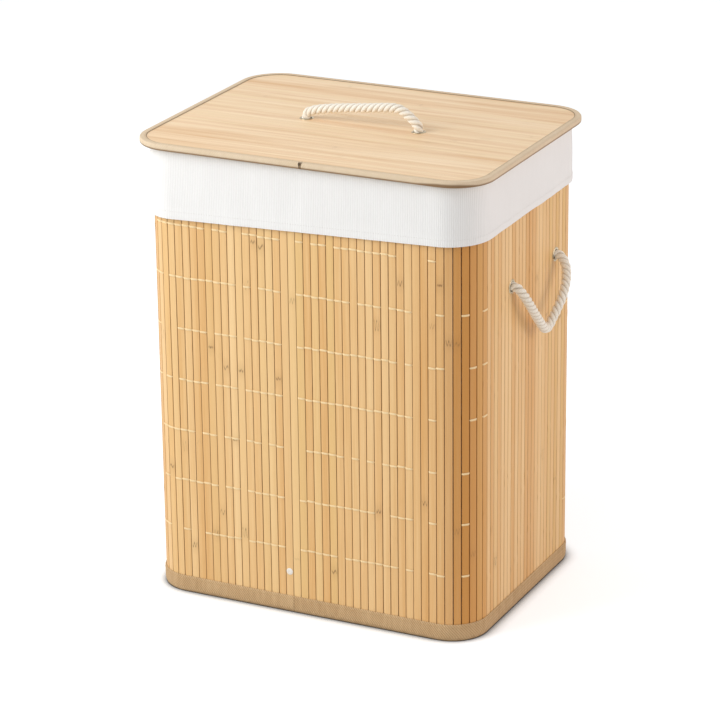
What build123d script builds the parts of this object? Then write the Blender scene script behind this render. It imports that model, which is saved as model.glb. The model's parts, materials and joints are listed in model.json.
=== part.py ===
from build123d import *
import math
import os

# Lidded laundry hamper: a wall of upright bamboo slats bound in cloth tape, a cotton liner folded
# over the rim, a flat slatted lid on two cloth hinge straps, and three rope handles in eyelets.
# Millimetres. X runs left to right, Y front to back and Z up, with the origin on the floor
# under the middle of the body.

# Slat wall
BODY_WIDTH = 400.0  # over the slats, left to right
BODY_DEPTH = 300.0  # over the slats, front to back
BODY_CORNER = 42.0  # radius of the wall's corners, over the slats
SLAT_LENGTH = 522.0
SLAT_PITCH = 9.3  # aimed at: each side takes the whole count that comes nearest
SLAT_GAP = 0.5
SLAT_THICKNESS = 2.2
SLAT_ROUND = 0.5  # rounding of a slat's long edges
SEAM_X = -18.0  # where the ends of the mat meet on the front
SEAM_RIVET_FOOT = 49.0  # height of the lower rivet in the seam
SEAM_RIVET_HEAD = 37.0  # from the slats' upper ends down to the upper rivet

# Threads that hold the slats together
THREAD_FIRST = 78.0  # height of the lowest row
THREAD_LAST = 22.4  # from the slats' upper ends down to the highest row
THREAD_ROWS = 8
THREAD_HEIGHT = 1.2
THREAD_THICKNESS = 0.7

# Cloth tape over the wall's two edges
TAPE_THICKNESS = 1.2
TAPE_LEG = 20.0  # how far the tape reaches up or down the wall
TAPE_SLIT = 0.4  # between the two ends of a tape

# Floor of the hamper
BOTTOM_CLOTH = 0.8
BASE_BOARD = 4.0

# Cotton liner
CLOTH = 1.2
CUFF_DROP = 72.0  # how far the liner hangs down outside the rim
LINER_EASE = 0.8  # from the bag to what stands out behind it

# Lid
LID_OVERHANG = 11.0  # past the slats on every side
LID_CORNER = 46.0
LID_BOARD = 3.4
LID_SLAT = 2.4
LID_SLAT_GAP = 0.35
LID_TAPE = 0.6
LID_TAPE_LEG = 8.0
LID_SEAM_X = 4.0  # where the ends of the lid's tape meet, on the front edge

# Hinge straps
STRAP_X = 105.0  # from the middle to each strap
STRAP_WIDTH = 30.0
STRAP = 0.8  # thickness of the webbing
STRAP_BEND = 1.2  # radius of the strap's middle line under the lid
HINGE_EASE = 1.9  # from the strap's back to the line that the lid turns on
KINK_DROP = 17.0  # from the cuff's hem down to where the strap comes in to the wall
KINK_RUN = 12.0
KINK_ROUND = 4.0
STRAP_RIVET_DROPS = (8.0, 23.0)  # below the kink
STRAP_TAIL = 32.0
TAB_INSET = 0.7  # from the lid's back edge to the strap's sewn end

# Rivets
RIVET_SHANK = 1.5
RIVET_HEAD = 4.0
RIVET_DOME = 1.0
RIVET_TAIL_RADIUS = 2.8
RIVET_TAIL = 0.8

# Eyelets, all radii
EYELET_BORE = 5.8
EYELET_BARREL = 6.5
EYELET_FLANGE = 8.2
EYELET_LIP = 7.4
EYELET_DOME = 0.8
EYELET_WASHER = 0.6
EYELET_ROLL = 0.6  # thickness of the rolled end

# Rope handles
ROPE = 11.0  # diameter
ROPE_PROUD = 0.3  # how far a fixed rope end stands out of its hole
KNOT = 18.0
KNOT_TAIL = 17.0  # from the knot's middle to the rope's cut end
HANDLE_HEIGHT = 385.0
HANDLE_SPACING = 122.0
HANDLE_SHIFT = 18.0  # the side handles sit a little towards the back
LID_HANDLE_SPACING = 138.0
POCKET_ROOM = 3.0  # between a knot and the liner around it
ARC_SHARE = 0.45  # share of a rope's run that the arc at its end takes up

# Clearances
FIT = 0.3  # between pieces that move on each other
SEAT = 0.1  # between pieces that lie on each other

# Side rope, hanging: (out from the line it swings on, along the wall, down), end points left out
SIDE_ROPE_POINTS = [
    (7.0, -54.0, 13.0),
    (9.0, -38.0, 33.0),
    (9.5, -18.5, 53.0),
    (9.0, 0.0, 70.0),
    (12.0, 18.5, 53.0),
    (15.0, 33.0, 38.0),
    (13.0, 49.0, 22.0),
    (8.0, 58.0, 9.0),
]
# Lid rope: (left to right, up from the line it tilts on), end points left out
LID_ROPE_POINTS = [
    (-60.0, 4.4),
    (-40.0, 8.6),
    (-16.0, 11.6),
    (8.0, 14.3),
    (31.0, 17.6),
    (46.0, 18.0),
    (57.0, 11.2),
    (64.0, 5.0),
]

os.makedirs("parts", exist_ok=True)

# Heights of the wall's layers, from the floor up
slat_base = TAPE_THICKNESS
slat_top = slat_base + SLAT_LENGTH
tape_top = slat_top + TAPE_THICKNESS
rim_top = tape_top + CLOTH
hem_height = rim_top - CUFF_DROP
board_base = TAPE_THICKNESS + BOTTOM_CLOTH
board_top = board_base + BASE_BOARD

# Slat counts and spacings
front_run = BODY_WIDTH - 2 * BODY_CORNER
side_run = BODY_DEPTH - 2 * BODY_CORNER
front_count = round(front_run / SLAT_PITCH)
side_count = round(side_run / SLAT_PITCH)
corner_count = round(math.pi / 2 * BODY_CORNER / SLAT_PITCH)
front_pitch = front_run / front_count
side_pitch = side_run / side_count
corner_step = 90 / corner_count
corner_half = math.radians(corner_step / 2)
corner_face = BODY_CORNER * math.cos(corner_half)  # from a corner's centre to a flat slat's face
corner_width = 2 * (corner_face - SLAT_THICKNESS) * math.tan(corner_half) - SLAT_GAP

# Distances from the slats' outer face, inwards below zero
leg_outside = TAPE_THICKNESS
leg_inside = -(SLAT_THICKNESS + BODY_CORNER - corner_face + SEAT)
tape_inside = leg_inside - TAPE_THICKNESS
cuff_inside = max(leg_outside, RIVET_DOME, SEAT + THREAD_THICKNESS) + 2 * SEAT
cuff_outside = cuff_inside + CLOTH
seam_grip = 2 * SLAT_THICKNESS
bag_outside = -(seam_grip + RIVET_TAIL + LINER_EASE)
bag_inside = bag_outside - CLOTH

# Lid heights and sizes
lid_base = rim_top + FIT
lid_board_base = lid_base + LID_TAPE
lid_slat_base = lid_board_base + LID_BOARD
lid_slat_top = lid_slat_base + LID_SLAT
lid_top = lid_slat_top + LID_TAPE
lid_back = BODY_DEPTH / 2 + LID_OVERHANG

# Ropes and eyelets
eyelet_tail = EYELET_WASHER + EYELET_ROLL
rope_axis = ROPE_PROUD + FIT + ROPE / 2  # from the slats to the line that a rope turns on
lid_grip = LID_BOARD + LID_SLAT
knot_depth = eyelet_tail + FIT + KNOT / 2  # from the back of the held layer to the knot's middle


def finish(part, name):
    """Label one finished piece and write it to its file."""
    part.label = name
    export_step(part, f"parts/{name}.step")


def wall_plate(grow, bottom, top, mode=Mode.ADD):
    """Plate between two heights that follows the wall's plan, grown by a distance."""
    with BuildSketch(Plane.XY.offset(bottom)) as plan:
        RectangleRounded(BODY_WIDTH + 2 * grow, BODY_DEPTH + 2 * grow, BODY_CORNER + grow)
    extrude(plan.sketch, amount=top - bottom, mode=mode)


def lid_plate(inset, bottom, top, mode=Mode.ADD):
    """Plate between two heights that follows the lid's outline, drawn in by a distance."""
    width = BODY_WIDTH + 2 * (LID_OVERHANG - inset)
    depth = BODY_DEPTH + 2 * (LID_OVERHANG - inset)
    with BuildSketch(Plane.XY.offset(bottom)) as plan:
        RectangleRounded(width, depth, LID_CORNER - inset)
    extrude(plan.sketch, amount=top - bottom, mode=mode)


def slat_bank(places, width, bottom, top):
    """Upright slats of one width, one at each place in plan."""
    with BuildPart() as bank:
        with BuildSketch(Plane.XY.offset(bottom)):
            with Locations(*places):
                RectangleRounded(width, SLAT_THICKNESS, SLAT_ROUND)
        extrude(amount=top - bottom)
    return bank.part


def straight_places(count, pitch, distance, turn, inset=0.0):
    """Places of a straight row of slats, on the side that faces -Y after a turn about Z."""
    row = []
    for number in range(count):
        along = (number + 0.5 - count / 2) * pitch
        across = -(distance - inset - SLAT_THICKNESS / 2)
        row.append(Location((0, 0, 0), (0, 0, turn)) * Location((along, across, 0)))
    return row


def corner_places(x_side, y_side):
    """Places of the slats round one corner: flat slats whose outer edges lie on the corner's arc."""
    centre_x = x_side * (BODY_WIDTH / 2 - BODY_CORNER)
    centre_y = y_side * (BODY_DEPTH / 2 - BODY_CORNER)
    middle = math.degrees(math.atan2(y_side, x_side))
    reach = corner_face - SLAT_THICKNESS / 2
    row = []
    for number in range(corner_count):
        angle = middle + (number + 0.5 - corner_count / 2) * corner_step
        x = centre_x + reach * math.cos(math.radians(angle))
        y = centre_y + reach * math.sin(math.radians(angle))
        row.append(Location((x, y, 0), (0, 0, angle + 90)))
    return row


def side_holes(side):
    """Eyelet places on the right (1) or left (-1) wall: local Z points out and local X down."""
    row = []
    for end in (-1, 1):
        origin = (side * BODY_WIDTH / 2, HANDLE_SHIFT + end * HANDLE_SPACING / 2, HANDLE_HEIGHT)
        row.append(Plane(origin, x_dir=(0, 0, -1), z_dir=(side, 0, 0)).location)
    return row


def lid_holes():
    """Eyelet places on the lid: local Z points up and local X to the front."""
    row = []
    for end in (-1, 1):
        origin = (end * LID_HANDLE_SPACING / 2, 0, lid_slat_top)
        row.append(Plane(origin, x_dir=(0, -1, 0), z_dir=(0, 0, 1)).location)
    return row


def drill(places, radius, grip):
    """Round holes through the layers that a fastener at each place grips."""
    with Locations(*places):
        Cylinder(radius, 2 * (grip + FIT), mode=Mode.SUBTRACT)


def turned(outline):
    """Solid of revolution about Z from an outline of (radius, height) points."""
    with BuildPart() as piece:
        with BuildSketch(Plane.XZ):
            with BuildLine():
                Polyline(*outline, close=True)
            make_face()
        revolve(axis=Axis.Z)
    return piece.part


def eyelet(grip):
    """Domed flange, barrel and rolled end of one eyelet, with the flange's seat at zero."""
    back = -(grip + EYELET_WASHER)
    with BuildPart() as piece:
        with BuildSketch(Plane.XZ):
            with BuildLine():
                ThreePointArc(
                    (EYELET_FLANGE, 0),
                    ((EYELET_FLANGE + EYELET_BORE) / 2, EYELET_DOME),
                    (EYELET_BORE, EYELET_DOME / 2),
                )
                Polyline(
                    (EYELET_BORE, EYELET_DOME / 2),
                    (EYELET_BORE, back - EYELET_ROLL),
                    (EYELET_LIP, back - EYELET_ROLL),
                    (EYELET_LIP, back),
                    (EYELET_BARREL, back),
                    (EYELET_BARREL, 0),
                    (EYELET_FLANGE, 0),
                )
            make_face()
        revolve(axis=Axis.Z)
    return piece.part


def washer(grip):
    """Flat ring that the eyelet's rolled end holds against the back."""
    back = -(grip + EYELET_WASHER)
    hole = EYELET_BARREL + SEAT
    return turned([(hole, back), (EYELET_FLANGE, back), (EYELET_FLANGE, -grip), (hole, -grip)])


def rope_end(grip):
    """Fixed end of a rope: the length in the eyelet, a stopper knot and the cut end beside it."""
    depth = grip + knot_depth
    with BuildPart() as piece:
        with Locations((0, 0, -depth)):
            Cylinder(ROPE / 2, depth + ROPE_PROUD, align=(Align.CENTER, Align.CENTER, Align.MIN))
            Sphere(KNOT / 2)
        with Locations(Plane((0, 0, -depth), z_dir=(1, 0, 0)).location):
            Cylinder(ROPE / 2 - FIT, KNOT_TAIL, align=(Align.CENTER, Align.CENTER, Align.MIN))
    return piece.part


def rivet(grip):
    """Rivet with a domed head on the outside, its seat at zero, and a flat tail behind the grip."""
    dome_radius = (RIVET_DOME**2 + RIVET_HEAD**2) / (2 * RIVET_DOME)
    with BuildPart() as piece:
        with BuildSketch(Plane.XZ):
            with BuildLine():
                RadiusArc((0, RIVET_DOME), (RIVET_HEAD, 0), dome_radius)
                Polyline(
                    (RIVET_HEAD, 0),
                    (RIVET_SHANK, 0),
                    (RIVET_SHANK, -grip),
                    (RIVET_TAIL_RADIUS, -grip),
                    (RIVET_TAIL_RADIUS, -grip - RIVET_TAIL),
                    (0, -grip - RIVET_TAIL),
                    (0, RIVET_DOME),
                )
            make_face()
        revolve(axis=Axis.Z)
    return piece.part


def rope_loop(points, name):
    """Rope from one eyelet to the other: straight runs, arcs as large as they allow, round ends."""
    corners = [Vector(*point) for point in points]
    runs = [after - before for before, after in zip(corners, corners[1:])]
    radii = []
    for before, after in zip(runs, runs[1:]):
        half_turn = math.radians(before.get_angle(after)) / 2
        radii.append(ARC_SHARE * min(before.length, after.length) / math.tan(half_turn))
    with BuildPart() as loop:
        with BuildLine() as route:
            FilletPolyline(*points, radius=radii)
        with BuildSketch(Plane(route.line @ 0, z_dir=route.line % 0)):
            Circle(ROPE / 2)
        sweep()
        tube_volume = loop.part.volume
        with Locations(points[0], points[-1]):
            Sphere(ROPE / 2)
    length = sum(edge.length for edge in route.edges())
    plain_volume = math.pi * ROPE**2 / 4 * length
    print(name, "bend radii:", [round(radius, 1) for radius in radii])
    print(name, f"length {length:.1f}, volume {tube_volume:.0f} of {plain_volume:.0f}")
    return loop.part


# Cloth tape folded over the slats' lower ends: it stands on the floor
with BuildPart() as bottom_binding:
    wall_plate(leg_outside, 0, TAPE_LEG)
    wall_plate(0, slat_base, TAPE_LEG, Mode.SUBTRACT)
    wall_plate(leg_inside, slat_base, TAPE_LEG)
    wall_plate(tape_inside, 0, TAPE_LEG, Mode.SUBTRACT)
    with Locations((SEAM_X, -BODY_DEPTH / 2, TAPE_LEG / 2)):
        Box(TAPE_SLIT, BODY_CORNER, TAPE_LEG, mode=Mode.SUBTRACT)
finish(bottom_binding.part, "bottom_binding")

# Canvas floor sewn to the tape, with a stiff board lying on it
with BuildPart() as bottom_cloth:
    wall_plate(tape_inside, TAPE_THICKNESS, board_base)
finish(bottom_cloth.part, "bottom_cloth")

with BuildPart() as base_board:
    wall_plate(tape_inside - FIT, board_base, board_top)
finish(base_board.part, "base_board")

# Front slats, in two runs that meet at the mat's seam
front_places = straight_places(front_count, front_pitch, BODY_DEPTH / 2, 0)
seam_index = round((SEAM_X + front_run / 2) / front_pitch)
seam_line = seam_index * front_pitch - front_run / 2
seam_places = []
for height in (SEAM_RIVET_FOOT, slat_top - SEAM_RIVET_HEAD):
    seam_origin = (seam_line - front_pitch / 2, -BODY_DEPTH / 2, height)
    seam_places.append(Plane(seam_origin, z_dir=(0, -1, 0)).location)

with BuildPart() as front_left_slats:
    add(slat_bank(front_places[:seam_index], front_pitch - SLAT_GAP, slat_base, slat_top))
    drill(seam_places, RIVET_SHANK + SEAT, seam_grip)
finish(front_left_slats.part, "front_left_slats")

with BuildPart() as front_right_slats:
    add(slat_bank(front_places[seam_index:], front_pitch - SLAT_GAP, slat_base, slat_top))
finish(front_right_slats.part, "front_right_slats")

# Two slats of the mat's other end, lapped behind the seam and riveted to it
lap_places = straight_places(front_count, front_pitch, BODY_DEPTH / 2, 0, SLAT_THICKNESS)
with BuildPart() as seam_lap_slats:
    lap_top = tape_top - TAPE_LEG - FIT
    lap_pair = lap_places[seam_index - 1 : seam_index + 1]
    add(slat_bank(lap_pair, front_pitch - SLAT_GAP, TAPE_LEG + FIT, lap_top))
    drill(seam_places, RIVET_SHANK + SEAT, seam_grip)
finish(seam_lap_slats.part, "seam_lap_slats")

with BuildPart() as seam_rivets:
    with Locations(*seam_places):
        add(rivet(seam_grip))
finish(seam_rivets.part, "seam_rivets")

# Side slats, drilled for the handles' eyelets
for side, turn, name in ((1, 90, "right_slats"), (-1, -90, "left_slats")):
    side_places = straight_places(side_count, side_pitch, BODY_WIDTH / 2, turn)
    with BuildPart() as side_slats:
        add(slat_bank(side_places, side_pitch - SLAT_GAP, slat_base, slat_top))
        drill(side_holes(side), EYELET_BARREL + SEAT, SLAT_THICKNESS)
    finish(side_slats.part, name)

# Line that the lid turns on, where the straps bend under its back edge
thread_face = SEAT + THREAD_THICKNESS
strap_low = BODY_DEPTH / 2 + thread_face + SEAT + STRAP / 2
strap_high = BODY_DEPTH / 2 + cuff_outside + FIT + STRAP / 2
strap_grip = strap_low + STRAP / 2 - BODY_DEPTH / 2 + SLAT_THICKNESS
hinge_y = strap_high + STRAP / 2 + HINGE_EASE
hinge_z = lid_base - FIT - STRAP / 2
kink_top = hem_height - KINK_DROP
kink_foot = kink_top - KINK_RUN
print(f"lid turns on y {hinge_y:.2f}, z {hinge_z:.2f}")
print(f"ropes turn {rope_axis:.2f} off the slats, lid slats' top is at {lid_slat_top:.2f}")

strap_rivet_places = []
for x in (-STRAP_X, STRAP_X):
    for drop in STRAP_RIVET_DROPS:
        rivet_origin = (x, strap_low + STRAP / 2, kink_foot - drop)
        strap_rivet_places.append(Plane(rivet_origin, z_dir=(0, 1, 0)).location)

# Back slats, drilled for the hinge straps' rivets
back_places = straight_places(front_count, front_pitch, BODY_DEPTH / 2, 180)
with BuildPart() as back_slats:
    add(slat_bank(back_places, front_pitch - SLAT_GAP, slat_base, slat_top))
    drill(strap_rivet_places, RIVET_SHANK + SEAT, strap_grip)
finish(back_slats.part, "back_slats")

# Corner slats
for x_side, side_word in ((-1, "left"), (1, "right")):
    for y_side, end_word in ((-1, "front"), (1, "back")):
        corner_bank = slat_bank(corner_places(x_side, y_side), corner_width, slat_base, slat_top)
        finish(corner_bank, f"{end_word}_{side_word}_corner_slats")

# Rows of thread round the wall, cut where rivets and eyelets sit
thread_pitch = (slat_top - THREAD_LAST - THREAD_FIRST) / (THREAD_ROWS - 1)
with BuildPart() as wall_threads:
    for row in range(THREAD_ROWS):
        row_foot = THREAD_FIRST + row * thread_pitch - THREAD_HEIGHT / 2
        with BuildSketch(Plane.XY.offset(row_foot)):
            for grow, mode in ((thread_face, Mode.ADD), (SEAT, Mode.SUBTRACT)):
                RectangleRounded(
                    BODY_WIDTH + 2 * grow, BODY_DEPTH + 2 * grow, BODY_CORNER + grow, mode=mode
                )
        extrude(amount=THREAD_HEIGHT)
    drill(side_holes(1) + side_holes(-1), EYELET_FLANGE + SEAT, SLAT_THICKNESS)
    drill(seam_places, RIVET_HEAD + SEAT, seam_grip)
    drill(strap_rivet_places, RIVET_SHANK + SEAT, strap_grip)
finish(wall_threads.part, "wall_threads")

# Cloth tape over the slats' upper ends, under the liner
with BuildPart() as top_binding:
    wall_plate(leg_outside, tape_top - TAPE_LEG, tape_top)
    wall_plate(0, tape_top - TAPE_LEG, slat_top, Mode.SUBTRACT)
    wall_plate(leg_inside, tape_top - TAPE_LEG, slat_top)
    wall_plate(tape_inside, tape_top - TAPE_LEG, tape_top, Mode.SUBTRACT)
finish(top_binding.part, "top_binding")

# Cotton liner: a bag that stands on the board, dented by the knots, with its top folded
# over the rim into a cuff
pocket_radius = KNOT_TAIL + POCKET_ROOM
pocket_depth = SLAT_THICKNESS + knot_depth + KNOT / 2 + POCKET_ROOM
with BuildPart() as bag_form:
    wall_plate(bag_outside, board_top, tape_top)
    with Locations(*side_holes(1), *side_holes(-1)):
        Cylinder(pocket_radius, 2 * pocket_depth, mode=Mode.SUBTRACT)
with BuildPart() as bag_space:
    wall_plate(bag_inside, board_top + CLOTH, rim_top)
    with Locations(*side_holes(1), *side_holes(-1)):
        Cylinder(pocket_radius + CLOTH, 2 * (pocket_depth + CLOTH), mode=Mode.SUBTRACT)
with BuildPart() as liner:
    wall_plate(cuff_outside, hem_height, rim_top)
    fillet(liner.edges().group_by(Axis.Z)[-1], CLOTH - FIT)
    wall_plate(cuff_inside, hem_height, tape_top, Mode.SUBTRACT)
    add(bag_form.part)
    add(bag_space.part, mode=Mode.SUBTRACT)
finish(liner.part, "liner")

# Webbing straps: riveted to the back wall below the cuff, up over it and out under the lid
with BuildPart() as hinge_straps:
    for x in (-STRAP_X, STRAP_X):
        with BuildSketch(Plane.YZ.offset(x - STRAP_WIDTH / 2)):
            with BuildLine():
                FilletPolyline(
                    (strap_low, kink_foot - STRAP_TAIL),
                    (strap_low, kink_foot),
                    (strap_high, kink_top),
                    (strap_high, hinge_z),
                    (hinge_y, hinge_z),
                    radius=(KINK_ROUND, KINK_ROUND, STRAP_BEND),
                )
            trace(line_width=STRAP)
            with Locations((hinge_y, hinge_z)):
                Circle(STRAP / 2)
        extrude(amount=STRAP_WIDTH)
    drill(strap_rivet_places, RIVET_SHANK + SEAT, strap_grip)
finish(hinge_straps.part, "hinge_straps")

with BuildPart() as hinge_rivets:
    with Locations(*strap_rivet_places):
        add(rivet(strap_grip))
finish(hinge_rivets.part, "hinge_rivets")

# The straps' other ends, sewn under the lid's back edge
tab_front = hinge_y + STRAP / 2 + FIT
tab_length = lid_back - TAB_INSET - tab_front
with BuildPart() as hinge_tabs:
    with Locations((-STRAP_X, tab_front, lid_base), (STRAP_X, tab_front, lid_base)):
        Box(STRAP_WIDTH, tab_length, STRAP, align=(Align.CENTER, Align.MIN, Align.MAX))
finish(hinge_tabs.part, "hinge_tabs")

# Side handles: eyelets in the wall, fixed rope ends with their knots inside, and hanging ropes
for side, word in ((1, "right"), (-1, "left")):
    with BuildPart() as handle_eyelets:
        with Locations(*side_holes(side)):
            add(eyelet(SLAT_THICKNESS))
    finish(handle_eyelets.part, f"{word}_handle_eyelets")

    with BuildPart() as handle_washers:
        with Locations(*side_holes(side)):
            add(washer(SLAT_THICKNESS))
    finish(handle_washers.part, f"{word}_handle_washers")

    with BuildPart() as handle_knots:
        with Locations(*side_holes(side)):
            add(rope_end(SLAT_THICKNESS))
    finish(handle_knots.part, f"{word}_handle_knots")

    end_points = [(0, -HANDLE_SPACING / 2, 0), (0, HANDLE_SPACING / 2, 0)]
    hang = []
    for out, along, down in [end_points[0], *SIDE_ROPE_POINTS, end_points[1]]:
        x = side * (BODY_WIDTH / 2 + rope_axis + out)
        hang.append((x, HANDLE_SHIFT + along, HANDLE_HEIGHT - down))
    finish(rope_loop(hang, f"{word}_handle_rope"), f"{word}_handle_rope")

# Lid: a stiff board under a layer of slats that run left to right, with taped edges
with BuildPart() as lid_board:
    lid_plate(LID_TAPE + SEAT, lid_board_base, lid_slat_base)
    drill(lid_holes(), EYELET_BARREL + SEAT, lid_grip)
finish(lid_board.part, "lid_board")

lid_slat_run = BODY_DEPTH + 2 * (LID_OVERHANG - LID_TAPE - SEAT)
lid_slat_count = round(lid_slat_run / SLAT_PITCH)
with BuildPart() as lid_slats:
    lid_plate(LID_TAPE + SEAT, lid_slat_base, lid_slat_top)
    with Locations((0, 0, (lid_slat_base + lid_slat_top) / 2)):
        with GridLocations(0, lid_slat_run / lid_slat_count, 1, lid_slat_count - 1):
            Box(BODY_WIDTH + 2 * LID_OVERHANG, LID_SLAT_GAP, LID_SLAT, mode=Mode.SUBTRACT)
    drill(lid_holes(), EYELET_BARREL + SEAT, lid_grip)
finish(lid_slats.part, "lid_slats")

with BuildPart() as lid_binding:
    lid_plate(0, lid_base, lid_top)
    lid_plate(LID_TAPE, lid_board_base, lid_slat_top, Mode.SUBTRACT)
    lid_plate(LID_TAPE_LEG, lid_base, lid_top, Mode.SUBTRACT)
    with Locations((LID_SEAM_X, -lid_back, (lid_base + lid_top) / 2)):
        Box(TAPE_SLIT, LID_CORNER, lid_top - lid_base, mode=Mode.SUBTRACT)
finish(lid_binding.part, "lid_binding")

# Lid handle
with BuildPart() as lid_eyelets:
    with Locations(*lid_holes()):
        add(eyelet(lid_grip))
finish(lid_eyelets.part, "lid_eyelets")

with BuildPart() as lid_washers:
    with Locations(*lid_holes()):
        add(washer(lid_grip))
finish(lid_washers.part, "lid_washers")

with BuildPart() as lid_handle_knots:
    with Locations(*lid_holes()):
        add(rope_end(lid_grip))
finish(lid_handle_knots.part, "lid_handle_knots")

lid_ends = [(-LID_HANDLE_SPACING / 2, 0), (LID_HANDLE_SPACING / 2, 0)]
arch = []
for x, up in [lid_ends[0], *LID_ROPE_POINTS, lid_ends[1]]:
    arch.append((x, 0, lid_slat_top + rope_axis + up))
finish(rope_loop(arch, "lid_handle_rope"), "lid_handle_rope")
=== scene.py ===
import json
import math

import bmesh
import bpy
from mathutils import Matrix, Vector, noise

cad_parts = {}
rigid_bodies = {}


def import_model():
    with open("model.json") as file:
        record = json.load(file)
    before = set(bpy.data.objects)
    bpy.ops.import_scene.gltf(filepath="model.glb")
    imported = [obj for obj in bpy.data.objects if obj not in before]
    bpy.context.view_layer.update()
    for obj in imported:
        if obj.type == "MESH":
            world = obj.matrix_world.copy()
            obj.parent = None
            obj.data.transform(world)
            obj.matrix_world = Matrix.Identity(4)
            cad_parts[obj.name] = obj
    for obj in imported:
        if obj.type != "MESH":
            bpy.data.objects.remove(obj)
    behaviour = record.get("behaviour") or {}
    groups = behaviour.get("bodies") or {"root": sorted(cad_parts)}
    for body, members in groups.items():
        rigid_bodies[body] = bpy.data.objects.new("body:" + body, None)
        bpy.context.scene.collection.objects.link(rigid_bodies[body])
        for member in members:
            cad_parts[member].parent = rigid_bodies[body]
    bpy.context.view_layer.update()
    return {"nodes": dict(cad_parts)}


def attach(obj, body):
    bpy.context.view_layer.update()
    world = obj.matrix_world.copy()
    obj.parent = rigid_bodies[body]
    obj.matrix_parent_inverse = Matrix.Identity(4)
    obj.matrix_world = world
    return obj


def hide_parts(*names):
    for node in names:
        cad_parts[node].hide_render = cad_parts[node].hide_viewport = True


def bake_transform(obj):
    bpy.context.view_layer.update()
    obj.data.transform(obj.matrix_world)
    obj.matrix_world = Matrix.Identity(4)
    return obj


for leftover in list(bpy.data.objects):
    bpy.data.objects.remove(leftover)
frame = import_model()
scene = bpy.context.scene


# Slat wall.
# Bamboo is split, planed into thin strips and stood side by side with its rounded skin outwards. The
# mat is bent round four corners, its ends meet on the front, and it is drilled for the eyelets.
WALL_HALF = (0.200, 0.150)
WALL_CORNER = 0.042
SIDE_COUNTS = (34, 23)
CORNER_COUNT = 7
CORNER_WIDTH = 0.00841
SLAT_FOOT = 0.0012
SLAT_LENGTH = 0.522
SLAT_GAP = 0.0005
SLAT_THICK = 0.0022
SLAT_CROWN = ((0.5, 0.50), (0.468, 0.20), (0.25, 0.05), (0.0, 0.0))  # share of width, mm behind the face
WIDTH_SPREAD = 0.00034  # no two slats are planed to quite the same width
SLAT_TILT = 0.02
SLAT_RIDGE = 0.00022  # how far a growth ring stands out
RING_BELOW, RING_ABOVE = 0.008, 0.004
EYELET_ALONG, EYELET_RISE = (-0.043, 0.079), 0.385
EYELET_SPOTS = [(side * WALL_HALF[0], y, EYELET_RISE) for side in (-1, 1) for y in EYELET_ALONG]
EYELET_HOLE, DRILL_DEPTH = 0.0066, 0.012
# Slats round the front right corner: partly their own browning, partly painted shade of that corner.
CORNER_BROWN_AND_SHADE = (0.18, 0.44, 0.60, 0.90, 0.82, 0.58, 0.52)  # browning and painted shade
# The walls that face sideways are browned a little as painted shade of those sides.
PLAIN_CORNER_BROWN, SIDE_SHADE = 0.15, 0.13
FRONT_PALE = {8: -0.8, 14: -0.7, 15: -0.6}  # fresh pale slats, the last two beside the seam
FRONT_RUNS = ((2, 5, -0.25), (5, 13, -0.45), (13, 17, -0.20), (24, 26, 0.10),
              (26, 34, 0.17))  # slats split from one cane, and their browning
FRONT_BARE = (8, 14, 15, 31, 32)  # front slats that cover their threads
THREADED, CORNER_THREADED = 0.90, 0.55  # share of the thread rows that show


class Wire:
    """A value inside a node tree. Arithmetic on it adds Math nodes to that tree."""

    def __init__(self, tree, socket):
        self.tree, self.socket = tree, socket

    def run(self, operation, *others):
        return place(self.tree, "ShaderNodeMath", dict(enumerate((self, *others))), operation=operation)

    def __add__(self, other):
        return self.run("ADD", other)

    def __sub__(self, other):
        return self.run("SUBTRACT", other)

    def __mul__(self, other):
        return self.run("MULTIPLY", other)

    def __truediv__(self, other):
        return self.run("DIVIDE", other)

    def __abs__(self):
        return self.run("ABSOLUTE")

    def span(self, low, high, start=0.0, end=1.0):
        sizes = dict(enumerate((self, low, high, start, end)))
        return place(self.tree, "ShaderNodeMapRange", sizes, clamp=True)

    def mix(self, first, second, kind="MIX"):
        return place(self.tree, "ShaderNodeMix", {0: self, 6: first, 7: second}, 2, data_type="RGBA",
                     blend_type=kind)


def fill(node, inputs):
    for socket, value in dict(inputs).items():
        if isinstance(value, Wire):
            value.tree.links.new(value.socket, node.inputs[socket])
        else:
            node.inputs[socket].default_value = value


def place(tree, kind, inputs=(), give=0, **settings):
    node = tree.nodes.new(kind)
    for name, value in settings.items():
        setattr(node, name, value)
    fill(node, inputs)
    return [Wire(tree, out) for out in node.outputs] if give is None else Wire(tree, node.outputs[give])


def vector(tree, x, y, z):
    return place(tree, "ShaderNodeCombineXYZ", {0: x, 1: y, 2: z})


def apart(value):
    return place(value.tree, "ShaderNodeSeparateXYZ", {0: value}, None)


def speckle(at, scale, detail, **more):
    return place(at.tree, "ShaderNodeTexNoise", {"Vector": at, "Scale": scale, "Detail": detail, **more})


def attribute(tree, name):
    return place(tree, "ShaderNodeAttribute", (), "Fac", attribute_name=name)


def paint(code):
    parts = [int(code[i:i + 2], 16) / 255 for i in (0, 2, 4)]
    return (*[c / 12.92 if c <= 0.04045 else ((c + 0.055) / 1.055) ** 2.4 for c in parts], 1.0)


def start_tree(name, kind, inputs, outputs):
    tree = bpy.data.node_groups.new(name, kind)
    for way, sockets in (("INPUT", inputs), ("OUTPUT", outputs)):
        for socket, labels in sockets.items():
            for label in labels:
                tree.interface.new_socket(label, in_out=way, socket_type="NodeSocket" + socket)
    return tree, {out.name: Wire(tree, out) for out in tree.nodes.new("NodeGroupInput").outputs}


def look_group(name, **inputs):
    outputs = {"Color": ["Color"], "Float": ["Roughness", "Height"]}
    return start_tree(name, "ShaderNodeTree", inputs, outputs)


def end_look(colour, roughness, height):
    place(colour.tree, "NodeGroupOutput", {"Color": colour, "Roughness": roughness, "Height": height}, None)


def material(name):
    finish = bpy.data.materials.new(name)
    finish.use_nodes = True
    return finish, finish.node_tree, finish.node_tree.nodes["Principled BSDF"]


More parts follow.
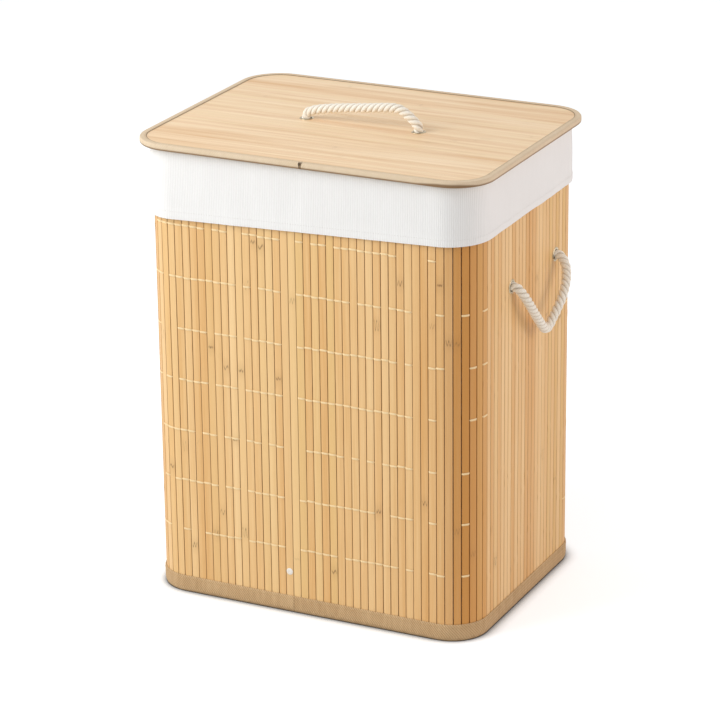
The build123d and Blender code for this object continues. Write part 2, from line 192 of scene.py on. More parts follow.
def bumped(height, depth, strength):
    return place(height.tree, "ShaderNodeBump", {"Height": height, "Distance": depth, "Strength": strength})


def grouped(name, group, values, depth, strength, plain):
    finish, tree, shader = material(name)
    look = tree.nodes.new("ShaderNodeGroup")
    look.node_tree = group
    fill(look, values)
    colour, rough, height = (Wire(tree, look.outputs[label]) for label in ("Color", "Roughness", "Height"))
    fill(shader, {"Base Color": colour, "Roughness": rough, "Normal": bumped(height, depth, strength)})
    fill(shader, plain)
    return finish


# Colour and relief of planed bamboo: each strip has its own tone, long fibres, and dark scars at the
# growth rings. It reads where it is along and across its strip.
skin, given = look_group("bamboo_skin", Color=("Pale", "Deep", "Straw", "Brown", "Scar"),
                         Float=("Contrast", "Fibre", "Scars", "Edge"))
along, across, strip, brown = (attribute(skin, name) for name in ("along", "across", "strip", "brown"))
fibre = speckle(vector(skin, strip * 310.0 + across * 6.5, along * 15.0, strip * 70.0), 1.0, 4.0,
                Roughness=0.65)
cloud = speckle(vector(skin, strip * 90.0 + across * 0.9, along * 5.0, strip * 41.0), 1.0, 2.0)
tone = (strip - 0.5) * given["Contrast"] + 0.45
tone = tone + (cloud - 0.5) * 0.9 + (fibre - 0.5) * given["Fibre"]
colour = tone.span(0.0, 1.0).mix(given["Pale"], given["Deep"])


def whim(step, low, high, start, end):
    return (strip * step).run("FRACT").span(low, high, start, end)


colour = whim(17.3, 0.55, 0.95, 0.0, 0.6).mix(colour, given["Straw"])
colour = (brown.run("MAXIMUM", 0.0) * 0.9).mix(colour, given["Brown"])
colour = (brown * -0.7).run("MAXIMUM", 0.0).mix(colour, given["Pale"])
# Painted shade: each strip darkens at its very edges, beside the gaps between the strips.
colour = abs(across).span(0.86, 1.0, 0.0, given["Edge"]).mix(colour, given["Scar"], "MULTIPLY")
marks = []
for ring, picked in (("ring_a", 29.0), ("ring_b", 53.0)):
    rise = along - attribute(skin, ring)
    arch = whim(picked * 2.7, 0.0, 1.0, -0.0032, 0.0058)
    waves = whim(picked * 1.9, 0.0, 1.0, 4.2, 9.2)
    aside = whim(picked * 3.3, 0.0, 1.0, -0.4, 0.4)
    bow = ((across + aside) * waves).run("COSINE")
    ring_line = abs(bow * arch + (fibre - 0.5) * 0.006 + rise).span(0.0004, 0.0021, 1.0, 0.0)
    shown = whim(picked, 0.70, 0.88, 0.0, 1.0)
    inside = abs(across).span(0.55, 0.85, 1.0, 0.0) * fibre.span(0.38, 0.54, 0.25, 1.0)
    halo = abs(rise).span(0.001, 0.013, 0.16, 0.0) * shown
    marks.append((ring_line * shown * inside).run("MAXIMUM", halo))
scars = marks[0].run("MAXIMUM", marks[1]) * given["Scars"]
end_look(scars.mix(colour, given["Scar"]), fibre.span(0.2, 0.8, 0.40, 0.58), scars * 0.6 + fibre)


def bamboo(name, colours, numbers, relief):
    codes = dict(zip(("Pale", "Deep", "Straw", "Brown", "Scar"), map(paint, colours)))
    return grouped(name, skin, {**codes, **numbers}, 0.0002, relief, {"Specular IOR Level": 0.35})


wall_bamboo = bamboo("wall_bamboo", ("F3CF98", "DCA866", "E4BF7C", "C8832F", "744A22"),
                     {"Contrast": 0.80, "Fibre": 0.90, "Scars": 0.85, "Edge": 0.35}, 0.5)


def mesh(name, corners, faces, edges=()):
    shape = bpy.data.meshes.new(name)
    shape.from_pydata(corners, edges, faces)
    return shape


def add_piece(name, shape):
    piece = bpy.data.objects.new(name, shape)
    scene.collection.objects.link(piece)
    return piece


def smooth(shape, degrees):
    shape.polygons.foreach_set("use_smooth", [True] * len(shape.polygons))
    shape.set_sharp_from_angle(angle=math.radians(degrees))


def mark(shape, **values):
    for name, numbers in values.items():
        shape.attributes.new(name, "FLOAT", "POINT").data.foreach_set("value", numbers)


def tube_faces(rows, count):
    faces = []
    for row in range(rows - 1):
        for i in range(count):
            a, b = row * count + i, row * count + (i + 1) % count
            faces.append((a, b, b + count, a + count))
    return faces


def capped_tube(rows, count):
    last = (rows - 1) * count
    return tube_faces(rows, count) + [tuple(range(count))[::-1], tuple(range(last, last + count))]


def strip_pattern(name, width, thick, crown, rings):
    profile = [(-share * width, depth / 1000) for share, depth in crown]
    profile += [(-x, y) for x, y in reversed(profile[:-1])]
    profile = [(profile[0][0], thick)] + profile + [(profile[-1][0], thick)]
    count = len(profile)
    shape = mesh(name, [(x, y, 0) for _ in rings for x, y in profile], capped_tube(len(rings), count))
    for label in rings[0]:
        mark(shape, **{label: [ring[label] * (label != "bulge" or 0 < i < count - 1)
                               for ring in rings for i in range(count)]})
    return add_piece(name, shape)


def drills(name, spots, across, radius, depth):
    tool = bmesh.new()
    for spot in spots:
        bmesh.ops.create_cone(tool, cap_ends=True, segments=28, radius1=radius, radius2=radius, depth=depth,
                              matrix=Matrix.Translation(spot) @ across)
    shape = bpy.data.meshes.new(name)
    tool.to_mesh(shape)
    tool.free()
    return add_piece(name, shape)


def shape_tree(name, **inputs):
    inputs = {"Geometry": ["Geometry"], **inputs, "Material": ["Material"]}
    return start_tree(name, "GeometryNodeTree", inputs, {"Geometry": ["Geometry"]})


def end_shape(geometry, given):
    coated = place(geometry.tree, "GeometryNodeSetMaterial",
                   {"Geometry": geometry, "Material": given["Material"]})
    place(geometry.tree, "NodeGroupOutput", {"Geometry": coated}, None)


def run_tree(tree, name, points, values):
    piece = add_piece(name, points)
    modifier = piece.modifiers.new(name, "NODES")
    modifier.node_group = tree
    for socket in tree.interface.items_tree:
        if socket.in_out == "INPUT" and socket.name in values:
            modifier[socket.identifier] = values[socket.name]
    bpy.context.view_layer.update()
    shape = bpy.data.meshes.new_from_object(piece.evaluated_get(bpy.context.evaluated_depsgraph_get()))
    piece.modifiers.clear()
    piece.data = shape
    shape.name = name
    return piece


def chance(low, high, seed):
    return place(seed.tree, "FunctionNodeRandomValue", {2: low, 3: high, 8: seed}, 1, data_type="FLOAT")


def either_way(size, seed):
    return chance(size * -1.0, size, seed)


def named(tree, name):
    return place(tree, "GeometryNodeInputNamedAttribute", {"Name": name}, data_type="FLOAT")


def store(geometry, name, value):
    return place(geometry.tree, "GeometryNodeStoreNamedAttribute",
                 {"Geometry": geometry, "Name": name, "Value": value}, data_type="FLOAT", domain="POINT")


def position(tree):
    return place(tree, "GeometryNodeInputPosition")


def moved(geometry, **to):
    return place(geometry.tree, "GeometryNodeSetPosition", {"Geometry": geometry, **to})


def turned(tree, angle):
    return place(tree, "FunctionNodeEulerToRotation", {0: vector(tree, 0.0, 0.0, angle)})


def object_shape(wire):
    return place(wire.tree, "GeometryNodeObjectInfo", {"Object": wire}, "Geometry")


def stand_on(points, pattern, **ways):
    copies = place(points.tree, "GeometryNodeInstanceOnPoints",
                   {"Points": points, "Instance": object_shape(pattern), **ways})
    return place(points.tree, "GeometryNodeRealizeInstances", {0: copies})


def drilled(geometry, holes):
    return place(geometry.tree, "GeometryNodeMeshBoolean",
                 {"Mesh 1": geometry, "Mesh 2": object_shape(holes)}, operation="DIFFERENCE", solver="EXACT")


def grown(points, seed, first_ring, second_ring):
    tones = {"strip": (0.0, 1.0), "ring_a": first_ring, "ring_b": second_ring}
    for step, (name, limits) in enumerate(tones.items()):
        points = store(points, name, chance(*limits, seed + step))
    return points


def reader(points, spot):
    """Reads a value from the strip whose point lies nearest to a spot."""
    nearest = place(points.tree, "GeometryNodeSampleNearest", {"Geometry": points, "Sample Position": spot})

    def read(value, kind="FLOAT"):
        return place(points.tree, "GeometryNodeSampleIndex",
                     {"Geometry": points, "Value": value, "Index": nearest}, data_type=kind)

    return read


# One tree stands every slat on its foot point, sets its growth rings, drills the holes and tells the
# material where each point lies on its slat.
slat_wall, given = shape_tree("slat_wall", Object=("Slat", "Holes"), Int=("Seed",), Float=(
    "Foot", "Length", "Pattern Width", "Width Spread", "Tilt", "Ridge"))
feet = grown(given["Geometry"], given["Seed"], (0.04, 0.22), (0.27, 0.44))
facing = turned(slat_wall, named(slat_wall, "turn") + either_way(given["Tilt"], given["Seed"] + 7))
planed = named(slat_wall, "width") + either_way(given["Width Spread"], given["Seed"] + 9)
stretch = vector(slat_wall, planed / given["Pattern Width"], 1.0, 1.0)
stood = stand_on(feet, given["Slat"], Rotation=facing, Scale=stretch)
spot = apart(position(slat_wall))
of_slat = reader(feet, vector(slat_wall, spot[0], spot[1], 0.0))
turn = of_slat(named(slat_wall, "turn"))
sine, cosine = turn.run("SINE"), turn.run("COSINE")
height = named(slat_wall, "unit") * given["Length"] + given["Foot"]
for ring in ("ring_a", "ring_b"):
    height = height + named(slat_wall, "on_" + ring) * of_slat(named(slat_wall, ring))
height = height + named(slat_wall, "lift")
proud = named(slat_wall, "bulge") * given["Ridge"]
stood = moved(stood, Position=vector(slat_wall, spot[0] + sine * proud, spot[1] - cosine * proud, height))
stood = drilled(stood, given["Holes"])
foot_spot = apart(of_slat(position(slat_wall), "FLOAT_VECTOR"))
sideways = (spot[0] - foot_spot[0]) * cosine + (spot[1] - foot_spot[1]) * sine
stood = store(stood, "across", sideways / (given["Pattern Width"] * 0.5))
stood = store(stood, "along", spot[2] - given["Foot"])
for name in ("strip", "brown", "ring_a", "ring_b"):
    stood = store(stood, name, of_slat(named(slat_wall, name)))
end_shape(stood, given)


def outwards(turn):
    return Vector((math.sin(turn), -math.cos(turn), 0))


def slat_feet(rows):
    shape = mesh("slat_feet", [row[0] for row in rows], [])
    for i, label in enumerate(("turn", "width", "brown", "threaded"), 1):
        mark(shape, **{label: [row[i] for row in rows]})
    return shape


wall_rows = []  # foot, facing, width, browning and painted shade, share of the thread rows that show on it
for quarter in range(4):
    facing_turn = quarter * math.pi / 2
    run = Vector((math.cos(facing_turn), math.sin(facing_turn), 0))
    half_run = WALL_HALF[quarter % 2] - WALL_CORNER
    reach = WALL_HALF[1 - quarter % 2]
    pitch = 2 * half_run / SIDE_COUNTS[quarter % 2]
    for i in range(SIDE_COUNTS[quarter % 2]):
        foot = outwards(facing_turn) * reach + run * (pitch * (i + 0.5) - half_run)
        cane = sum(tone for first, past, tone in FRONT_RUNS if first <= i < past)
        browning_and_shade = FRONT_PALE.get(i, cane) if quarter == 0 else (0.0, SIDE_SHADE)[quarter % 2]
        share = 0.0 if quarter == 0 and i in FRONT_BARE else (THREADED, 0.0)[quarter % 2]
        wall_rows.append((foot, facing_turn, pitch - SLAT_GAP, browning_and_shade, share))
    centre = outwards(facing_turn) * (reach - WALL_CORNER) + run * half_run
    depth = math.sqrt(WALL_CORNER ** 2 - (CORNER_WIDTH / 2) ** 2)
    for i in range(CORNER_COUNT):
        face = facing_turn + math.pi / 2 * (i + 0.5) / CORNER_COUNT
        browning_and_shade = CORNER_BROWN_AND_SHADE[i] if quarter == 0 else PLAIN_CORNER_BROWN
        share = 0.0 if i in (1, 2) else CORNER_THREADED
        wall_rows.append((centre + outwards(face) * depth, face, CORNER_WIDTH, browning_and_shade, share))

pattern_width = wall_rows[0][2]
no_ring = {"on_ring_a": 0, "on_ring_b": 0, "unit": 0, "lift": 0, "bulge": 0}
slat_rings = [no_ring]
for ring in ("on_ring_a", "on_ring_b"):
    slat_rings += [{**no_ring, ring: 1, "lift": -RING_BELOW}, {**no_ring, ring: 1, "bulge": 1},
                   {**no_ring, ring: 1, "lift": RING_ABOVE}]
slat_rings.append({**no_ring, "unit": 1})
slat_pattern = strip_pattern("slat_pattern", pattern_width, SLAT_THICK, SLAT_CROWN, slat_rings)
sideways_drill = Matrix.Rotation(math.pi / 2, 4, "Y")
eyelet_drills = drills("eyelet_drills", EYELET_SPOTS, sideways_drill, EYELET_HOLE, DRILL_DEPTH)
slat_sizes = {"Slat": slat_pattern, "Holes": eyelet_drills, "Foot": SLAT_FOOT, "Length": SLAT_LENGTH,
              "Pattern Width": pattern_width, "Width Spread": WIDTH_SPREAD, "Tilt": SLAT_TILT,
              "Ridge": SLAT_RIDGE, "Seed": 11, "Material": wall_bamboo}
wall_slats = run_tree(slat_wall, "wall_slats", slat_feet(wall_rows), slat_sizes)
smooth(wall_slats.data, 40)
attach(wall_slats, "hamper")
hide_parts("front_left_slats", "front_right_slats", "back_slats", "left_slats", "right_slats",
            "front_left_corner_slats", "front_right_corner_slats", "back_left_corner_slats",
            "back_right_corner_slats")


# Seam laps and their rivets.
# Two more slats lie behind the mat's ends and bridge them. White plastic rivets pin the left end to
# its lap, one near the foot and one near the rim.
LAP_FACE, LAP_MIDDLE = -0.1478, -0.018588
LAP_FOOT, LAP_LENGTH = 0.0203, 0.4838
LAP_BROWN = 0.2
lap_pitch = 2 * (WALL_HALF[0] - WALL_CORNER) / SIDE_COUNTS[0]
lap_rows = [(Vector((LAP_MIDDLE + side * lap_pitch / 2, LAP_FACE, 0)), 0.0, lap_pitch - SLAT_GAP, LAP_BROWN,
             0.0) for side in (-1, 1)]
seam_laps = run_tree(slat_wall, "seam_laps", slat_feet(lap_rows),
                     {**slat_sizes, "Foot": LAP_FOOT, "Length": LAP_LENGTH, "Tilt": 0.0, "Ridge": 0.0,
                      "Seed": 40})
smooth(seam_laps.data, 40)
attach(seam_laps, "hamper")
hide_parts("seam_lap_slats")


def lies_at(tree):
    return place(tree, "ShaderNodeTexCoord", (), "Object")


# Fine scratches and finger marks of small hard fittings, as a roughness and a tint.
handling, given = look_group("handling_marks", Color=("Clean", "Dull"), Float=("Smooth", "Rough", "Grain"))
fitting_at = lies_at(handling)
worn = speckle(fitting_at, 260.0, 3.0).span(0.35, 0.70)
end_look(worn.mix(given["Clean"], given["Dull"]),
         (given["Rough"] - given["Smooth"]) * worn + given["Smooth"],
         speckle(fitting_at, given["Grain"], 2.0, Distortion=1.5))


def fitting(name, clean, dull, smoothest, roughest, metal):
    values = {"Clean": paint(clean), "Dull": paint(dull), "Smooth": smoothest, "Rough": roughest,
              "Grain": 900.0}
    return grouped(name, handling, values, 0.00005, 0.15, {"Metallic": metal})


def dress(finish, *nodes):
    for node in nodes:
        for slot in frame["nodes"][node].material_slots:
            slot.material = finish


dress(fitting("white_rivet_plastic", "F6F3EE", "E6DFD4", 0.25, 0.42, 0.0), "seam_rivets")


# Threads.
# Each row is a cotton thread that crosses the face of one slat after another and dips into the gaps
# between them. Some slats bulge over their thread, and some threads are pulled in out of sight.
THREAD_FIRST = 0.078
THREAD_STEP = 0.0604
THREAD_ROWS = 8
THREAD_ARCH = ((-0.0048, -0.0009, 0.5), (-0.0036, 0.00030, 0.95), (-0.0012, 0.00050, 1.0),
               (0.0012, 0.00050, 1.0), (0.0036, 0.00030, 0.95), (0.0048, -0.0009, 0.5))
THREAD_TALL, THREAD_DEEP = 0.0024, 0.00066
THREAD_SIDES = 6
THREAD_WANDER = 0.0006
EYELET_CLEAR = 0.014
thread_corners = [(x, -proud - math.sin(a) * THREAD_DEEP / 2 * size, math.cos(a) * THREAD_TALL / 2 * size)
                  for x, proud, size in THREAD_ARCH
                  for a in (2 * math.pi / THREAD_SIDES * k for k in range(THREAD_SIDES))]
thread_pattern = add_piece("thread_pattern", mesh("thread_pattern", thread_corners,
                                                  capped_tube(len(THREAD_ARCH), THREAD_SIDES)))

thread_rows, given = shape_tree("thread_rows", Object=("Thread",), Int=("Rows", "Seed"), Float=(
    "First Row", "Row Step", "Wander", "Keep Clear"))
raised, row = place(thread_rows, "GeometryNodeDuplicateElements",
                    {"Geometry": given["Geometry"], "Amount": given["Rows"]}, None, domain="POINT")
row_height = row * given["Row Step"] + given["First Row"] + either_way(given["Wander"], given["Seed"])
raised = moved(raised, Offset=vector(thread_rows, 0.0, 0.0, row_height))
hidden = chance(0.0, 1.0, given["Seed"] + 1).run("GREATER_THAN", named(thread_rows, "threaded"))
for eyelet in EYELET_SPOTS:
    away = place(thread_rows, "ShaderNodeVectorMath", {0: position(thread_rows), 1: eyelet}, 1,
                 operation="DISTANCE")
    hidden = hidden.run("MAXIMUM", away.run("LESS_THAN", given["Keep Clear"]))
raised = place(thread_rows, "GeometryNodeDeleteGeometry", {"Geometry": raised, "Selection": hidden},
               domain="POINT")
end_shape(stand_on(raised, given["Thread"], Rotation=turned(thread_rows, named(thread_rows, "turn"))), given)

thread_finish, tree, shader = material("thread_cotton")
twist = speckle(lies_at(tree), 900.0, 2.0)
fill(shader, {"Base Color": twist.mix(paint("F0D09A"), paint("FDE6BA")), "Roughness": 0.85,
              "Specular IOR Level": 0.2, "Normal": bumped(twist, 0.0002, 0.5)})
wall_threads = run_tree(thread_rows, "wall_thread_rows", slat_feet(wall_rows), {
    "Thread": thread_pattern, "First Row": THREAD_FIRST, "Row Step": THREAD_STEP, "Rows": THREAD_ROWS,
    "Wander": THREAD_WANDER, "Keep Clear": EYELET_CLEAR, "Seed": 5, "Material": thread_finish})
smooth(wall_threads.data, 50)
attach(wall_threads, "hamper")
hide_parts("wall_threads")


# Edge tapes of the wall.
# Cotton twill tape is folded over the slats' lower and upper ends and sewn through. The lower tape
# shows as a beige band whose ends meet below the seam, and the liner hides the upper one.
TAPE_LEG = 0.020
TAPE_FOOT, TAPE_HEAD = 0.0, 0.5244
TAPE_SEAM, TAPE_SLIT = -0.018, 0.0004
TAPE_SECTION = (  # out, up, in mm, from the outer edge of the fold round to it again
    (1.2, 5.2), (1.2, 10.0), (1.15, 18.9), (0.8, 19.7), (0.35, 20.0), (0.05, 19.8), (0.02, 12.0),
    (0.02, 1.2), (-2.57, 1.2), (-2.57, 19.8), (-2.9, 20.0), (-3.4, 19.8), (-3.764, 19.2), (-3.764, 1.6),
    (-3.3, 0.45), (-2.4, 0.0), (-1.4, 0.0), (-0.7, 0.25), (0.05, 0.95), (0.62, 2.1), (1.02, 3.7))
STITCH_IN, STITCH_OUT = 0.0035, 0.0013  # from the tape's edge, and from the slats' face
STITCH_PITCH = 0.0042


def outline(half_x, half_y, corner, start_x, gap=0.0, step=0.012, bends=12):
    """Spots round a rounded rectangle with their outward directions, from the front round to it again."""
    inner_x, inner_y = half_x - corner, half_y - corner
    runs = (((start_x + gap / 2, -half_y), (inner_x, -half_y), (inner_x, -inner_y)),
            ((half_x, -inner_y), (half_x, inner_y), (inner_x, inner_y)),
            ((inner_x, half_y), (-inner_x, half_y), (-inner_x, inner_y)),
            ((-half_x, inner_y), (-half_x, -inner_y), (-inner_x, -inner_y)),
            ((-inner_x, -half_y), (start_x - gap / 2, -half_y), None))
    spots = []
    for quarter, (first, last, bend) in enumerate(runs):
        first, last = Vector((*first, 0)), Vector((*last, 0))
        count = max(1, round((last - first).length / step))
        spots += [(first.lerp(last, i / count), outwards(quarter * math.pi / 2)) for i in range(count)]
        for i in range(bends if bend else 0):
            away = outwards((quarter + i / bends) * math.pi / 2)
            spots.append((Vector((*bend, 0)) + away * corner, away))
    return spots + [(last, outwards(0))]


def runs_along(points):
    runs = [0.0]
    for a, b in zip(points, points[1:]):
        runs.append(runs[-1] + math.dist(a, b))
    return runs


def cloth_piece(name, shape, corner_uv, finish, degrees=0):
    """A piece with its cloth coordinates, in metres, and with all its faces outwards."""
    coordinates = shape.uv_layers.new(name="cloth").data
    for face in shape.polygons:
        for loop in face.loop_indices:
            coordinates[loop].uv = corner_uv(face.index, shape.loops[loop].vertex_index)
    turned_out = bmesh.new()
    turned_out.from_mesh(shape)
    bmesh.ops.recalc_face_normals(turned_out, faces=turned_out.faces)
    turned_out.to_mesh(shape)
    turned_out.free()
    shape.materials.append(finish)
    if degrees:
        smooth(shape, degrees)
    return add_piece(name, shape)


def sweep(name, section, spots, finish, shift=None):
    rows, count = len(spots), len(section)
    runs, lengths = runs_along([spot for spot, _ in spots]), runs_along(section + section[:1])
    corners = [spot + normal * d + Vector((0, 0, z)) for spot, normal in spots for d, z in section]
    if shift:
        corners = [corner + shift(*divmod(i, count)) for i, corner in enumerate(corners)]
    quads = (rows - 1) * count

    def corner_uv(face, corner):
        row, place_in = divmod(corner, count)
        wrapped = face < quads and face % count == count - 1 and place_in == 0
        return runs[row], lengths[count] if wrapped else lengths[place_in]

    return cloth_piece(name, mesh(name, corners, capped_tube(rows, count)), corner_uv, finish, 50)


def cloth_at(tree):
    return apart(place(tree, "ShaderNodeUVMap", uv_map="cloth"))


# Woven yarns on a cloth's own coordinates, in metres: plain rib at no slant, twill at a slant of 1.
weave, given = look_group("woven_yarns", Color=("Yarn", "Between"), Float=("Warp", "Weft", "Slant", "Slub"))
cloth_u, cloth_v, _ = cloth_at(weave)
warp_at, weft_at = cloth_u / given["Warp"], cloth_v / given["Weft"]
uneven = speckle(vector(weave, warp_at * 0.6, weft_at * 0.12, 0.0), 1.0, 3.0)
stain = speckle(vector(weave, cloth_u, cloth_v, 0.0), 14.0, 3.0)
rib = ((given["Slant"] * weft_at + warp_at) * (2 * math.pi)).run("SINE").span(-1.0, 1.0)
pick = (weft_at * (6 * math.pi)).run("SINE").span(-1.0, 1.0)
relief = rib * 0.75 + pick * 0.25
shade = relief * 0.75 + 0.20 + (uneven - 0.5) * given["Slub"] + (stain - 0.5) * 0.5
end_look(shade.span(0.0, 1.0).mix(given["Between"], given["Yarn"]), stain.span(0.2, 0.8, 0.78, 0.95),
         uneven * 0.4 + relief)


def woven(name, yarn, between, warp, weft, slant, slub, depth, sheen):
    values = {"Yarn": paint(yarn), "Between": paint(between), "Warp": warp, "Weft": weft, "Slant": slant,
              "Slub": slub}
    return grouped(name, weave, values, depth, 0.6, {"Specular IOR Level": 0.15, "Sheen Weight": sheen})


wall_tape = woven("wall_tape_twill", "DCBE94", "A07A50", 0.0030, 0.0036, 1.0, 0.6, 0.0004, 0.05)

# Stitches lie along any line of points, each one a short thread that dips at both ends.
stitch_run, given = shape_tree("stitch_run", Object=("Stitch",), Float=("Pitch",))
seam_line = place(stitch_run, "GeometryNodeMeshToCurve", {"Mesh": given["Geometry"]})
seam_line = place(stitch_run, "GeometryNodeResampleCurve", {"Curve": seam_line, "Length": given["Pitch"]},
                  mode="LENGTH")
aligned = place(stitch_run, "FunctionNodeAlignRotationToVector",
                {"Vector": place(stitch_run, "GeometryNodeInputTangent")}, axis="X")
end_shape(stand_on(seam_line, given["Stitch"], Rotation=aligned), given)


def stitch_pattern(name, length, thick):
    bag = bmesh.new()
    bmesh.ops.create_uvsphere(bag, u_segments=6, v_segments=4, radius=0.5,
                              matrix=Matrix.Rotation(math.pi / 2, 4, "Y"))
    bmesh.ops.scale(bag, vec=(length, thick, thick), verts=bag.verts)
    shape = bpy.data.meshes.new(name)
    bag.to_mesh(shape)
    bag.free()
    return add_piece(name, shape)


def stitches(name, line, pattern, pitch, finish, body):
    shape = mesh(name, line, [], [(i, i + 1) for i in range(len(line) - 1)])
    piece = run_tree(stitch_run, name, shape, {"Stitch": pattern, "Pitch": pitch, "Material": finish})
    smooth(piece.data, 80)
    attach(piece, body)
    return piece


wall_spots = outline(*WALL_HALF, WALL_CORNER, TAPE_SEAM, TAPE_SLIT)
tape_foot = [(d / 1000, z / 1000 + TAPE_FOOT) for d, z in TAPE_SECTION]
tape_head = [(d / 1000, TAPE_HEAD - z / 1000) for d, z in TAPE_SECTION]
for name, section in (("bottom_binding", tape_foot), ("top_binding", tape_head)):
    tape = sweep(name + "_tape", section, wall_spots, wall_tape)
    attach(tape, "hamper")
    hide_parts(name)


def dyed_thread(name, deep, pale):
    finish = thread_finish.copy()
    finish.name = name
    tones = [node for node in finish.node_tree.nodes if node.type == "MIX"][0]
    fill(tones, {6: paint(deep), 7: paint(pale)})
    return finish


tape_thread = dyed_thread("tape_thread", "BE9C6C", "DCBE92")
tape_stitch = stitch_pattern("tape_stitch", 0.0030, 0.0006)
stitch_rise = Vector((0, 0, TAPE_LEG - STITCH_IN))
tape_line = [spot + normal * STITCH_OUT + stitch_rise for spot, normal in wall_spots]
stitches("bottom_binding_stitches", tape_line, tape_stitch, STITCH_PITCH, tape_thread, "hamper")


# Floor of the hamper.
# A canvas panel is sewn to the lower tape, and a stiff board covered in paper lies on it under the
# liner and keeps the walls square.
CANVAS_HALF, CANVAS_CORNER = (0.1962, 0.1462), 0.0382
CANVAS_FACES = (0.0012, 0.0020)
CANVAS_SAG = 0.00025  # the cloth is thinner inside its sewn edge
CANVAS_RINGS = (0.25, 0.5, 0.75, 0.96, 1.0)
canvas_finish = woven("floor_canvas", "E4DCCB", "B5A88F", 0.0012, 0.0036, 0.0, 0.4, 0.0003, 0.05)
edge = [spot for spot, _ in outline(*CANVAS_HALF, CANVAS_CORNER, 0.0)][:-1]
count = len(edge)
corners, faces = [], []
for face, sag in zip(CANVAS_FACES, (CANVAS_SAG, -CANVAS_SAG)):
    centre = len(corners)
    corners.append(Vector((0, 0, face)))
    for share in CANVAS_RINGS:
        corners += [Vector((p.x * share, p.y * share, face + sag * (share < 1))) for p in edge]
    faces += [(centre, centre + 1 + i, centre + 1 + (i + 1) % count) for i in range(count)]
    faces += [tuple(centre + 1 + c for c in quad) for quad in tube_faces(len(CANVAS_RINGS), count)]
half = len(corners) // 2
rim = half - count
for i in range(count):
    a, b = rim + i, rim + (i + 1) % count
    faces.append((a, half + a, half + b, b))
canvas_shape = mesh("floor_canvas", corners, faces)
floor_canvas = cloth_piece("floor_canvas", canvas_shape,
                           lambda face, corner: canvas_shape.vertices[corner].co.xy, canvas_finish)
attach(floor_canvas, "hamper")
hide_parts("bottom_cloth")

board_finish, tree, shader = material("pressed_board")
board_at = lies_at(tree)
fleck, patch = speckle(board_at, 420.0, 5.0), speckle(board_at, 22.0, 3.0)
board_tone = (fleck * 0.55 + patch * 0.45).span(0.3, 0.7)
fill(shader, {"Base Color": board_tone.mix(paint("B48E62"), paint("D8B98E")),
              "Roughness": fleck.span(0.2, 0.8, 0.62, 0.85), "Normal": bumped(fleck, 0.0002, 0.35)})
dress(board_finish, "base_board", "lid_board")


# Eyelets of the side handles.
# Nickel-plated brass eyelets line the rope holes. A barrel is pushed through the slats from outside
# and rolled over a washer behind them.
nickel = fitting("eyelet_nickel", "CDBFA2", "947F60", 0.18, 0.38, 1.0)
dress(nickel, "left_handle_eyelets", "right_handle_eyelets", "left_handle_washers", "right_handle_washers")


# Side handles.
# Three cotton strands are laid into a rope as thick as a finger. It comes out of one eyelet, hangs in
# a loop that is sharply creased at its lowest point, goes back in, and is knotted behind the wall.
ROPE = 0.011
ROPE_LAY = 0.021  # length of one full turn of a strand
STRAND_OUT, STRAND_RADIUS = 0.235, 0.262  # shares of the rope's thickness
STRAND_SIDES = 10
YARN_STRETCH = 1.25  # a strand is longer than its rope
SIDE_ROUTE = (
    (188.0, -43.0, 385.0), (199.0, -43.0, 385.0), (206.1, -43.0, 385.0), (213.1, -36.0, 372.0),
    (215.1, -20.0, 352.0), (215.6, -0.5, 332.0), (215.1, 18.0, 315.0), (218.1, 36.5, 332.0),
    (221.1, 51.0, 347.0), (219.1, 67.0, 363.0), (214.1, 76.0, 376.0), (206.1, 79.0, 385.0),
    (199.0, 79.0, 385.0), (188.0, 79.0, 385.0))
KNOT_ROPE, KNOT_LAY = 0.0084, 0.018  # the rope is squeezed thinner where the knot is pulled tight
# A stopper knot, from the hole inwards: in along the rope, to one side, and down, in mm
KNOT_ROUTE = ((2.0, 0.0, 0.0), (8.0, 0.0, 0.0), (11.5, 4.2, -2.0), (14.5, 1.0, -5.2), (13.5, -4.4, -1.4),
              (11.0, -3.0, 4.4), (10.5, 3.0, 4.8), (15.0, 4.4, 0.8), (17.8, -0.5, -1.8), (16.5, -3.2, 4.0),
              (13.5, 0.0, 8.5), (13.0, 0.0, 13.0), (13.0, 0.0, 16.5))


def painted(finish):
    """The tree, shader and colour of a finished material, to lay more colour over it."""
    tree = finish.node_tree
    shader = tree.nodes["Principled BSDF"]
    return tree, shader, Wire(tree, shader.inputs["Base Color"].links[0].from_socket)


rope_finish = woven("rope_cotton", "FFFBF2", "EFE6D3", 0.0024, 0.0050, 1.0, 0.6, 0.0003, 0.1)
tree, shader, yarn_colour = painted(rope_finish)
# Painted shade: each strand darkens where it turns in towards the grooves between the strands.
groove_shade = attribute(tree, "crown").span(-0.15, 0.76, 0.74, 0.0)
fill(shader, {"Base Color": groove_shade.mix(yarn_colour, paint("86693F"))})


def route_line(route):
    curve = bpy.data.curves.new("rope_route", "CURVE")
    curve.dimensions = "3D"
    curve.resolution_u = 14
    spline = curve.splines.new("NURBS")
    spline.points.add(len(route) - 1)
    for point, spot in zip(spline.points, route):
        point.co = (*(Vector(spot) / 1000), 1)
    spline.order_u = 3
    spline.use_endpoint_u = True
    bare = bpy.data.objects.new("rope_route", curve)
    read = bpy.data.meshes.new_from_object(bare)
    line = [corner.co.copy() for corner in read.vertices]
    bpy.data.objects.remove(bare)
    bpy.data.meshes.remove(read)
    return line


def directions(line):
    last = len(line) - 1
    return [(line[min(i + 1, last)] - line[max(i - 1, 0)]).normalized() for i in range(len(line))]


